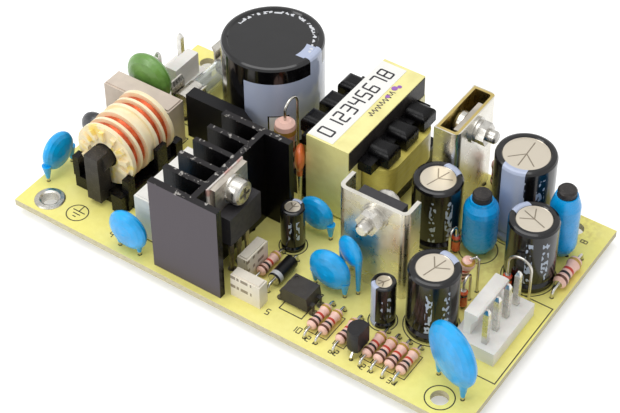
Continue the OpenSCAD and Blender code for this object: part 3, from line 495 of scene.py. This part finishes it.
def finish_parts():
    board_finish()
    heatsink_finish()
    bracket_finish()
    metal_finish("tin_finish", (206, 203, 194), 0.22, ["mounting_eyelet"])
    metal_finish("solder_finish", (200, 200, 198), 0.2, ["solder_joints"], depth=0.03)
    metal_finish("pin_finish", (222, 220, 214), 0.16, ["inlet_pins", "outlet_pins"])
    metal_finish("screw_finish", (214, 211, 204), 0.24, [
        "bracket_flat_washers", "bracket_nuts", "bracket_screws", "bracket_spring_washers",
        "switch_flat_washer", "switch_screw", "switch_spring_washer"])
    metal_finish("tab_finish", (206, 198, 186), 0.34,
                 ["switch_leadframe", "rectifier_leadframes"], (1, 1, 4))
    metal_finish("clip_finish", (216, 212, 202), 0.2, ["fuse_clips"])
    metal_finish("fuse_cap_finish", (222, 218, 208), 0.16, ["fuse_end_caps"])
    plastic_finish("nylon_finish", (240, 237, 231), 0.46, ["inlet_header", "outlet_header"],
                   Subsurface_Weight=0.08, Subsurface_Scale=0.002)
    bobbin_finish()
    plastic_finish("black_finish", (10, 9, 11), 0.24, ["choke_base", "transformer_bobbin"], 0.02,
                   Specular_IOR_Level=0.22)
    plastic_finish("package_finish", (46, 44, 47), 0.5, ["switch_body", "rectifier_bodies"], 0.02)
    plastic_finish("sleeve_finish", (0, 170, 246), 0.26, ["rod_choke_sleeves"], 0.02, 0.8,
                   Coat_Weight=0.4, Coat_Roughness=0.2)
    plastic_finish("label_finish", (246, 245, 240), 0.45, ["transformer_label"], 0.01, 0.97)
    disc_finish("green_finish", (110, 158, 72), ["inrush_thermistor"], 3.0)
    disc_finish("dark_finish", (44, 44, 48), ["surge_disc"])
    disc_finish("blue_finish", (0, 176, 250), ["large_disc_capacitor", "small_disc_capacitors"])
    disc_finish("orange_finish", (234, 118, 54), ["orange_disc_capacitor"], 8.8)
    box_finish("beige_finish", (216, 201, 186), ["line_filter_capacitor"], (132, 116, 102), "x")
    box_finish("white_box_finish", (240, 238, 232), ["second_filter_capacitor"], (140, 132, 120), "y")
    box_finish("film_box_finish", (236, 228, 212), ["film_capacitors"], (150, 138, 122), "x")
    chip_finish("bridge_finish", (16, 15, 18), ["bridge_rectifier"], 3.5)
    chip_finish("transistor_finish", (40, 38, 40), ["small_transistor"], 1.9)
    chip_finish("opto_finish", (66, 62, 58), ["optocoupler"], 0.55)
    row = [(x, ROW_Y, 1.38, 3.15) for x in ROW_X]
    resistor_finish("small_resistor_finish", "quarter_watt_resistors",
                    [(0.95, -17.5, 1.38, 3.15)] + row, "y")
    resistor_finish("output_resistor_finish", "output_resistor", [(52, 13.4, 2, 4.0)], "y")
    resistor_finish("power_resistor_finish", "power_resistor", [(-10.6, 4.7, 10, 7.5)], "z", 2.6)
    resistor_finish("standing_resistor_finish", "standing_resistors",
                    [(26.9, 28.3, 4.05, 3.25), (36.6, -0.9, 6.4, 2.9)], "z", 2.0)
    sleeve = (12, 11, 13)
    bulk_finish()
    for name, node, half, cans in (
            ("output_can_finish", "output_capacitors", 0.38, OUTPUT_CANS),
            ("tall_can_finish", "tall_output_capacitor", 0.4, TALL_CANS),
            ("small_can_finish", "small_capacitors", 0.4, SMALL_CANS)):
        turned = [(x, y, radius, math.radians(angle)) for x, y, radius, angle in cans]
        can_finish(name, node, turned, sleeve, GREY_BLUE, half)
    tape_finish()
    ferrite_finish()
    glass_diode_finish()
    power_diode_finish()
    pad_finish()
    fuse_finish()


# ---- pieces made in mesh code ------------------------------------------------

def piece(name, points, faces, material, slot, *replaced, smooth=False):
    """A mesh piece from points in millimetres."""
    mesh = bpy.data.meshes.new(name)
    mesh.from_pydata([Vector(point) * MM for point in points], [], faces)
    mesh.update()
    mesh.materials.append(material)
    for face in mesh.polygons:
        face.use_smooth = smooth
    made = bpy.data.objects.new(name, mesh)
    bpy.context.collection.objects.link(made)
    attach(made, "root")
    if replaced:
        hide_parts(*replaced)
    return made


class Print:
    """Flat ink with a little thickness, at one height."""

    def __init__(self, height, thickness=0.03):
        self.low = height
        self.high = height + thickness
        self.points = []
        self.faces = []

    def quad(self, corners):
        base = len(self.points)
        self.points += [(x, y, self.low) for x, y in corners]
        self.points += [(x, y, self.high) for x, y in corners]
        self.faces += [[base + 3, base + 2, base + 1, base], [base + 4, base + 5, base + 6, base + 7]]
        for side in range(4):
            after = (side + 1) % 4
            self.faces.append([base + side, base + after, base + 4 + after, base + 4 + side])

    def line(self, x0, y0, x1, y1, width=0.22):
        length = math.hypot(x1 - x0, y1 - y0)
        across_x = -(y1 - y0) / length * width / 2
        across_y = (x1 - x0) / length * width / 2
        self.quad([(x0 + across_x, y0 + across_y), (x0 - across_x, y0 - across_y),
                   (x1 - across_x, y1 - across_y), (x1 + across_x, y1 + across_y)])

    def outline(self, x0, y0, x1, y1, width=0.22):
        half = width / 2
        self.line(x0 - half, y0, x1 + half, y0, width)
        self.line(x0 - half, y1, x1 + half, y1, width)
        self.line(x0, y0 + half, x0, y1 - half, width)
        self.line(x1, y0 + half, x1, y1 - half, width)

    def ring(self, x, y, radius, width=0.22, start=0, turn=360, steps=48):
        for step in range(steps):
            ends = [math.radians(start + turn * (step + more) / steps) for more in (0, 1)]
            corners = []
            for angle, reach in ((ends[0], 0.5), (ends[0], -0.5), (ends[1], -0.5), (ends[1], 0.5)):
                out = radius + reach * width
                corners.append((x + out * math.cos(angle), y + out * math.sin(angle)))
            self.quad(corners[::-1])

    def digits(self, text, x, y, height, turn=0, width=0.18):
        """Plain seven-stroke digits, written from x, y in the direction turn."""
        wide = height * 0.52
        strokes = {"a": (0, 1, 1, 1), "b": (1, 0.5, 1, 1), "c": (1, 0, 1, 0.5), "d": (0, 0, 1, 0),
                   "e": (0, 0, 0, 0.5), "f": (0, 0.5, 0, 1), "g": (0, 0.5, 1, 0.5)}
        shapes = {"0": "abcdef", "1": "bc", "2": "abged", "3": "abgcd", "4": "fgbc",
                  "5": "afgcd", "6": "afgedc", "7": "abc", "8": "abcdefg", "9": "abcdfg"}
        cos, sin = math.cos(math.radians(turn)), math.sin(math.radians(turn))
        for place, letter in enumerate(text):
            for stroke in shapes[letter]:
                u0, v0, u1, v1 = strokes[stroke]
                ends = []
                for u, v in ((u0, v0), (u1, v1)):
                    along = place * wide * 1.6 + u * wide
                    ends += [x + along * cos - v * height * sin, y + along * sin + v * height * cos]
                self.line(*ends, width)

    def make(self, name, material, slot):
        return piece(name, self.points, self.faces, material, slot)


def ink(name, colour, roughness=0.5):
    shade = Shade(name, colour, roughness)
    shade.vary(tuple(min(255, level + 26) for level in colour), 2.2, 0.5, 4)
    shade.bump(shade.noise(5.0, 2), 0.005)
    return shade.done()


def board_print():
    """Outlines, the earth sign and plain numbers. The real board's names are left out."""
    mark = Print(BOARD_TOP + 0.004)
    mark.ring(-22.6, 17.4, 11.5)
    for x, y, radius, _ in OUTPUT_CANS + TALL_CANS + SMALL_CANS:
        mark.ring(x, y, radius + 0.4)
    mark.ring(33.2, 10.3, 4.0)
    mark.ring(46.8, -26.9, 2.9)
    mark.outline(-54, -1.9, -36.1, 3.9)
    mark.outline(-27.4, -24.9, -20.6, -6.7)
    mark.outline(-46.9, -19.2, -31.9, -4.2)
    mark.outline(-54, 10.6, -46.6, 21.8)
    mark.outline(43.8, -18.4, 53.7, 4.4)
    mark.outline(-43.9, 7.4, -37.7, 29.2)
    for x in ROW_X:
        mark.outline(x - 1.25, -27, x + 1.25, -20.4, 0.16)
    mark.outline(8.9, -25.2, 14.2, -17.6)
    mark.line(-42.4, -26.4, -39.4, -26.4)
    mark.line(-41.8, -27.2, -40.0, -27.2)
    mark.line(-41.3, -28.0, -40.5, -28.0)
    mark.line(-40.9, -26.4, -40.9, -24.6)
    mark.ring(-40.9, -26.9, 2.3)
    for text, x, y, height, turn in (
            ("1", -45.6, 12.0, 1.6, 0), ("3", -45.6, 19.6, 1.6, 0), ("11", -33.5, -23.5, 1.5, 0),
            ("12", -45.5, 25.4, 1.5, 0), ("4", -31.5, -28.5, 1.5, 0), ("21", 17.8, -29.3, 1.3, 0),
            ("22", 23.2, -29.3, 1.3, 0), ("27", 30.4, -29.3, 1.3, 0), ("31", 36.4, -29.3, 1.3, 0),
            ("6", 41.5, -15.2, 1.5, 0), ("7", 41.3, 3.0, 1.4, 0), ("9", 29.8, -9.4, 1.4, 0),
            ("10", 14.0, -28.6, 1.4, 0), ("5", 7.3, -28.0, 1.4, 0), ("8", 50.8, 24.0, 1.4, 90)):
        mark.digits(text, x, y, height, turn)
    mark.make("board_print", ink("board_ink", (30, 28, 26)), "board")


def label_print():
    """A plain run of digits on the label, and a scribble with two purple blots beside it."""
    low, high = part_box("transformer_label")
    mark = Print(high.z / MM + 0.002, 0.02)
    right, front = high.x / MM, low.y / MM
    mark.digits("012345678", right - 1.5, front + 1.6, 3.3, 90, 0.42)
    mark.make("label_numbers", ink("label_ink", (30, 28, 34)), "label")
    tape_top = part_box("transformer_tape")[1].z / MM
    pen = Print(tape_top + 0.002, 0.02)
    old = (right + 1.3, front + 11.5)
    for step in range(1, 26):
        new = (right + 1.3 + 0.75 * math.sin(step * 2.3), front + 11.5 + step * 0.36)
        pen.line(*old, *new, 0.2)
        old = new
    pen.make("tape_scribble", ink("pen_ink", (70, 62, 66)), "core_tape")
    blot = Print(tape_top + 0.028, 0.02)
    for x, y, radius in ((right + 1.1, front + 18.6, 0.5), (right + 0.9, front + 21.6, 0.7),
                         (right + 1.5, front + 22.6, 0.5)):
        blot.ring(x, y, radius / 2, radius, steps=14)
    blot.make("tape_blots", ink("blot_ink", (150, 96, 178)), "core_tape")


def choke_wire():
    """The choke's four windings, turned as one row of wires each."""
    shade = Shade("wire_finish", (226, 92, 34), 0.2, 0.6, Coat_Weight=0.6, Coat_Roughness=0.08)
    shade.vary((166, 48, 16), 0.5, 0.5, 4, (1, 4, 1))
    shade.vary((250, 150, 84), 1.4, 0.4, 3, (0.6, 5, 0.6))
    low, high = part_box("choke_windings")
    centre_x, centre_z = (low.x + high.x) / 2 / MM, (low.z + high.z) / 2 / MM
    outer = (high.x - low.x) / 2 / MM
    middle = (low.y + high.y) / 2 / MM
    wires, arc, around = 5, 6, 56
    bay, core = 1.65, 4.2
    points, faces = [], []
    for start in (-5.7, -3.35, 1.7, 4.05):
        pitch = bay / wires
        profile = [(start, core)]
        for wire in range(wires):
            for step in range(arc + 1 if wire == wires - 1 else arc):
                angle = math.pi * step / arc
                along = start + pitch * (wire + 0.5 - 0.5 * math.cos(angle))
                profile.append((along, outer - pitch * 0.5 + pitch * 0.5 * math.sin(angle)))
        profile.append((start + bay, core))
        base = len(points)
        for turn in range(around):
            angle = 2 * math.pi * turn / around
            for along, radius in profile:
                points.append((centre_x + radius * math.cos(angle), middle + along,
                               centre_z + radius * math.sin(angle)))
        count = len(profile)
        for turn in range(around):
            here = base + turn * count
            there = base + (turn + 1) % around * count
            for step in range(count):
                after = (step + 1) % count
                faces.append([here + step, there + step, there + after, here + after])
    piece("wire_turns", points, faces, shade.done(), "copper_wire", "choke_windings", smooth=True)


# ---- floor, lights and camera ------------------------------------------------

def floor_and_lights():
    """A white floor that keeps the shadow, two soft lamps, and a white surround."""
    size = 1.2
    mesh = bpy.data.meshes.new("floor")
    corners = [(-size, -size, 0), (size, -size, 0), (size, size, 0), (-size, size, 0)]
    mesh.from_pydata(corners, [], [[0, 1, 2, 3]])
    floor = bpy.data.objects.new("floor", mesh)
    bpy.context.collection.objects.link(floor)
    material = bpy.data.materials.new("floor_finish")
    material.use_nodes = True
    tree = material.node_tree
    tree.nodes.clear()
    output = tree.nodes.new("ShaderNodeOutputMaterial")
    add = tree.nodes.new("ShaderNodeAddShader")
    plain = tree.nodes.new("ShaderNodeBsdfDiffuse")
    plain.inputs["Color"].default_value = (0.8, 0.8, 0.8, 1)
    glow = tree.nodes.new("ShaderNodeEmission")
    path = tree.nodes.new("ShaderNodeLightPath")
    seen = Num(tree, path.outputs["Is Camera Ray"])
    seen = seen + Num(tree, path.outputs["Is Glossy Ray"])
    seen = seen + Num(tree, path.outputs["Is Transmission Ray"])
    tree.links.new((seen * 0.45).socket, glow.inputs["Strength"])
    tree.links.new(plain.outputs[0], add.inputs[0])
    tree.links.new(glow.outputs[0], add.inputs[1])
    tree.links.new(add.outputs[0], output.inputs["Surface"])
    mesh.materials.append(material)

    for name, power, width, place in (("softbox", 0.86, 0.34, (-0.05, -0.02, 0.42)),
                                      ("front_box", 0.5, 0.22, (-0.2, -0.36, 0.22))):
        data = bpy.data.lights.new(name, "AREA")
        data.energy = power
        data.size = width
        lamp = bpy.data.objects.new(name, data)
        bpy.context.collection.objects.link(lamp)
        lamp.location = place
        aim = Vector((0, 0, 0.01)) - Vector(place)
        lamp.rotation_euler = aim.to_track_quat("-Z", "Y").to_euler()

    world = bpy.data.worlds.new("studio")
    bpy.context.scene.world = world
    world.use_nodes = True
    tree = world.node_tree
    path = tree.nodes.new("ShaderNodeLightPath")
    seen = Num(tree, path.outputs["Is Camera Ray"])
    seen = seen.either(Num(tree, path.outputs["Is Transmission Ray"]))
    seen = seen.either(Num(tree, path.outputs["Is Glossy Ray"]) * 0.7)
    strength = seen * 0.4 + 0.6
    tree.links.new(strength.socket, tree.nodes["Background"].inputs["Strength"])
    tree.nodes["Background"].inputs["Color"].default_value = (1, 1, 1, 1)


def place_camera():
    """The camera that the photograph was fitted to, with the lens shift of its framing."""
    data = bpy.data.cameras.new("camera")
    data.sensor_width = 36
    data.lens = 102.3233
    data.shift_x = -0.148025
    data.shift_y = -0.227683
    data.clip_start = 0.01
    camera = bpy.data.objects.new("camera", data)
    bpy.context.collection.objects.link(camera)
    right = (0.84364, 0.536208, 0.02744)
    up = (-0.359478, 0.526144, 0.77068)
    back = (0.398807, -0.660041, 0.636631)
    turned = Matrix((right, up, back)).transposed().to_4x4()
    turned.translation = Vector((0.149596, -0.214964, 0.260545))
    camera.matrix_world = turned
    bpy.context.scene.camera = camera


place_camera()
finish_parts()
board_print()
label_print()
choke_wire()
floor_and_lights()
bpy.context.scene.view_settings.view_transform = "Standard"
